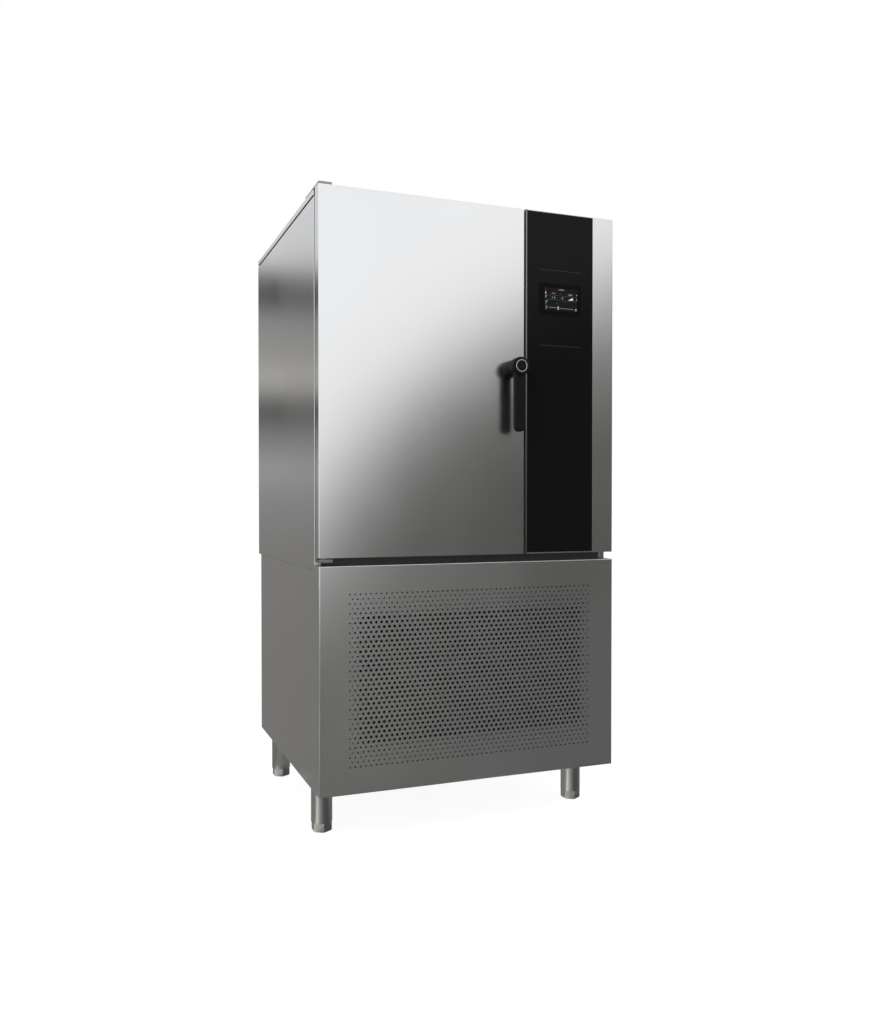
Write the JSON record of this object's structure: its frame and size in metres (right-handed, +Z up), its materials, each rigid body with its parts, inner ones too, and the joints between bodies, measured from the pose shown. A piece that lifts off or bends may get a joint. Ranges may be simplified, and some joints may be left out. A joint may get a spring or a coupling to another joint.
{
  "type": "blast chiller cabinet",
  "caption": "Upright blast chiller: insulated cabinet with a side-hinged door, glass control column, ventilated base and adjustable legs.",
  "frame": {"origin": "on the floor under the middle of the whole machine, handle included", "axes": "+Z up, +X to the right of someone facing the door, +Y from the door to the back"},
  "size_m": [0.9, 0.935, 1.785],
  "materials": {
    "satin_steel": "fine satin brushed stainless sheet",
    "liner_steel": "bright smooth stainless sheet",
    "tube_steel": "drawn stainless tube",
    "foot_steel": "turned stainless steel",
    "bracket_steel": "satin machined steel",
    "galvanised_sheet": "galvanised sheet",
    "black_enamel": "satin black enamel",
    "coil_fins": "plain aluminium fins",
    "fan_aluminium": "pressed aluminium",
    "copper": "drawn copper tube",
    "chrome_trim": "polished chrome",
    "black_glass": "back-painted black glass, polished",
    "display": "black bezel round a lit screen",
    "board": "green circuit board in its tray",
    "handle_black": "moulded black plastic, fine grain",
    "black_plastic": "moulded black plastic",
    "grey_plastic": "grey plastic pipe",
    "gasket_rubber": "soft dark gasket",
    "black_rubber": "moulded rubber",
    "foam": "rigid insulating foam"
  },
  "bodies": {
    "cabinet": {"legs": "tube_steel", "base_tray": "galvanised_sheet", "base_side_left": "satin_steel", "base_side_right": "satin_steel", "base_rear_panel": "galvanised_sheet", "base_front_grille": "satin_steel", "base_posts": "galvanised_sheet", "base_deck": "galvanised_sheet", "compressor": "black_enamel", "compressor_mounts": "black_rubber", "liquid_receiver": "black_enamel", "condenser_coil": "coil_fins", "condenser_shroud": "black_enamel", "condenser_fan_motor": "black_enamel", "refrigerant_lines": "copper", "electrical_box": "galvanised_sheet", "mains_gland": "black_plastic", "cabinet_insulation": "foam", "inner_liner": "liner_steel", "cabinet_side_left": "satin_steel", "cabinet_side_right": "satin_steel", "front_frame": "satin_steel", "cabinet_back": "galvanised_sheet", "cabinet_underside": "galvanised_sheet", "cabinet_top": "galvanised_sheet", "top_cover": "satin_steel", "rack_left": "liner_steel", "rack_right": "liner_steel", "air_baffle": "liner_steel", "evaporator_motors": "black_enamel", "fan_guards": "black_enamel", "evaporator_coil": "coil_fins", "evaporator_drip_tray": "liner_steel", "drain_pipe": "grey_plastic", "control_housing": "satin_steel", "fascia_glass": "black_glass", "display_module": "display", "control_board": "board", "hinge_bracket_upper": "bracket_steel", "hinge_bracket_lower": "bracket_steel", "hinge_screws": "bracket_steel", "latch_striker": "bracket_steel"},
    "door": {"door_outer_skin": "satin_steel", "door_insulation": "foam", "door_inner_panel": "liner_steel", "door_gasket": "gasket_rubber", "door_bushes": "black_plastic", "handle_neck": "handle_black"},
    "handle": {"handle_lever": "handle_black", "handle_ring": "chrome_trim", "handle_cap": "handle_black", "latch_cam": "bracket_steel"},
    "condenser_fan": {"condenser_fan": "fan_aluminium"},
    "evaporator_fan_lower": {"evaporator_fan_lower": "fan_aluminium"},
    "evaporator_fan_upper": {"evaporator_fan_upper": "fan_aluminium"},
    "foot_front_left": {"foot_front_left": "foot_steel"},
    "foot_front_right": {"foot_front_right": "foot_steel"},
    "foot_rear_left": {"foot_rear_left": "foot_steel"},
    "foot_rear_right": {"foot_rear_right": "foot_steel"}
  },
  "joints": [
    {"name": "door_swing", "type": "hinge", "parent": "cabinet", "child": "door", "pos_m": [-0.43, -0.3855, 1.2794], "axis": [0, 0, -1], "range_deg": [0, 120]},
    {"name": "handle_turn", "type": "hinge", "parent": "door", "child": "handle", "pos_m": [0.1171, -0.42, 1.3153], "axis": [0, 1, 0], "range_deg": [0, 60]},
    {"name": "condenser_fan_spin", "type": "hinge", "parent": "cabinet", "child": "condenser_fan", "pos_m": [-0.085, -0.2905, 0.412], "axis": [0, 1, 0], "continuous": true},
    {"name": "evaporator_fan_lower_spin", "type": "hinge", "parent": "cabinet", "child": "evaporator_fan_lower", "pos_m": [0.13, 0.031, 1.06], "axis": [1, 0, 0], "continuous": true},
    {"name": "evaporator_fan_upper_spin", "type": "hinge", "parent": "cabinet", "child": "evaporator_fan_upper", "pos_m": [0.13, 0.031, 1.45], "axis": [1, 0, 0], "continuous": true},
    {"name": "foot_front_left_screw", "type": "slide", "parent": "cabinet", "child": "foot_front_left", "axis": [0, 0, -1], "range_m": [0, 0.035]},
    {"name": "foot_front_right_screw", "type": "slide", "parent": "cabinet", "child": "foot_front_right", "axis": [0, 0, -1], "range_m": [0, 0.035]},
    {"name": "foot_rear_left_screw", "type": "slide", "parent": "cabinet", "child": "foot_rear_left", "axis": [0, 0, -1], "range_m": [0, 0.035]},
    {"name": "foot_rear_right_screw", "type": "slide", "parent": "cabinet", "child": "foot_rear_right", "axis": [0, 0, -1], "range_m": [0, 0.035]}
  ]
}
